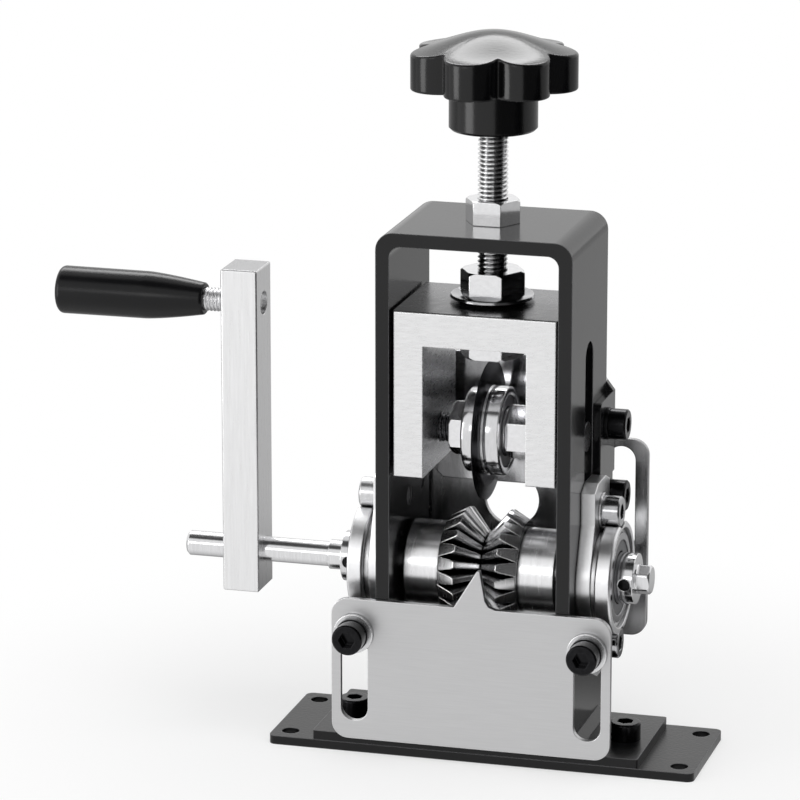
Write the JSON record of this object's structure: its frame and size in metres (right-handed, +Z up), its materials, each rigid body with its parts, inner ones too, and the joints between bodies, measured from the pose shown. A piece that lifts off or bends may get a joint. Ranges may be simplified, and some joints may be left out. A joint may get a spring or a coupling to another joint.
{
  "type": "hand crank wire stripper",
  "caption": "Bench wire stripper: a hand crank turns toothed feed rollers under a round blade held in a frame by a star knob screw.",
  "frame": {"origin": "centre of the base plate's four-hole pattern, on the underside of the base plate", "axes": "+Z up along the adjusting screw; X along the drive shaft with the crank on -X; -Y is the side with the splitter plate"},
  "size_m": [0.2279, 0.0737, 0.2425],
  "materials": {
    "black_paint": "gloss black baked paint",
    "black_screw": "black oxide, oiled",
    "brushed_plate": "brushed sheet steel",
    "dark_plate": "dark grey satin",
    "polished_sheet": "polished sheet steel",
    "housing_alloy": "die-cast, machined face",
    "zinc_screw": "zinc plated",
    "bearing_steel": "ground and polished",
    "black_shield": "black seal",
    "bright_steel": "bright turned",
    "polished_steel": "polished, hardened",
    "brushed_bar": "brushed, edges broken",
    "black_plastic": "smooth",
    "dark_stud": "dark tempered",
    "blade_steel": "dark ground tool steel",
    "brass_insert": "turned",
    "black_knob": "moulded, glossy"
  },
  "bodies": {
    "frame": {"base_plate": "black_paint", "riser_plate": "black_paint", "riser_screws": "black_screw", "portal_frame": "black_paint", "frame_welds": "black_paint", "front_lugs": "black_paint", "rear_lugs": "black_paint", "front_plate_washers": "black_screw", "front_plate_lock_washers": "black_screw", "front_plate_screws": "black_screw", "rear_plate_washers": "black_screw", "rear_plate_screws": "black_screw", "rear_bracket": "polished_sheet", "rear_bracket_washers": "black_screw", "rear_bracket_screws": "black_screw", "bearing_housing_left": "housing_alloy", "bearing_housing_right": "housing_alloy", "housing_screws_left": "zinc_screw", "housing_screws_right": "black_screw", "housing_washers": "zinc_screw", "shaft_bearing_outer_rings": "bearing_steel", "shaft_bearing_shields": "black_shield", "frame_nut": "bright_steel"},
    "drive": {"drive_shaft": "bright_steel", "feed_roller_left": "polished_steel", "feed_roller_right": "polished_steel", "roller_set_screws": "black_screw", "shaft_bearing_inner_rings": "bearing_steel", "shaft_bearing_balls": "bearing_steel", "collar_set_screws": "black_screw", "crank_arm": "brushed_bar", "crank_set_screw": "black_screw", "handle_stud": "zinc_screw"},
    "handle": {"handle_grip": "black_plastic"},
    "carriage": {"carriage_block": "brushed_bar", "blade_axle": "dark_stud", "blade_axle_nuts": "bright_steel", "blade_bearing_inner_ring": "bearing_steel", "blade_bearing_balls": "bearing_steel", "carriage_washer": "dark_stud"},
    "blade": {"blade_disc": "blade_steel", "blade_bearing_outer_ring": "bearing_steel", "blade_bearing_shields": "black_shield"},
    "adjuster": {"adjusting_screw": "bright_steel", "star_knob": "black_knob", "knob_insert": "brass_insert", "carriage_top_nut": "bright_steel", "carriage_bottom_nut": "bright_steel"},
    "splitter": {"front_splitter_plate": "brushed_plate"},
    "guide": {"rear_guide_plate": "dark_plate"}
  },
  "joints": [
    {"name": "crank_spin", "type": "hinge", "parent": "frame", "child": "drive", "pos_m": [-0.0022, 0.0012, 0.0607], "axis": [1, 0, 0], "continuous": true},
    {"name": "handle_spin", "type": "hinge", "parent": "drive", "child": "handle", "pos_m": [-0.1282, 0.0012, 0.1464], "axis": [1, 0, 0], "continuous": true},
    {"name": "carriage_slide", "type": "slide", "parent": "frame", "child": "carriage", "axis": [0, 0, 1], "range_m": [-0.012, 0.01]},
    {"name": "screw_turn", "type": "hinge", "parent": "carriage", "child": "adjuster", "pos_m": [-0.0022, 0.0012, 0.2], "axis": [0, 0, 1], "range_deg": [-2881, 2401]},
    {"name": "blade_spin", "type": "hinge", "parent": "carriage", "child": "blade", "pos_m": [-0.0022, 0.0012, 0.1082], "axis": [1, 0, 0], "continuous": true},
    {"name": "splitter_slide", "type": "slide", "parent": "frame", "child": "splitter", "axis": [0, 0, 1], "range_m": [0, 0.026]},
    {"name": "guide_slide", "type": "slide", "parent": "frame", "child": "guide", "axis": [0, 0, 1], "range_m": [-0.025, 0.011]}
  ],
  "couplings": [
    {"joint": "screw_turn", "follows": "carriage_slide", "rad_per_m": 4188.8}
  ]
}
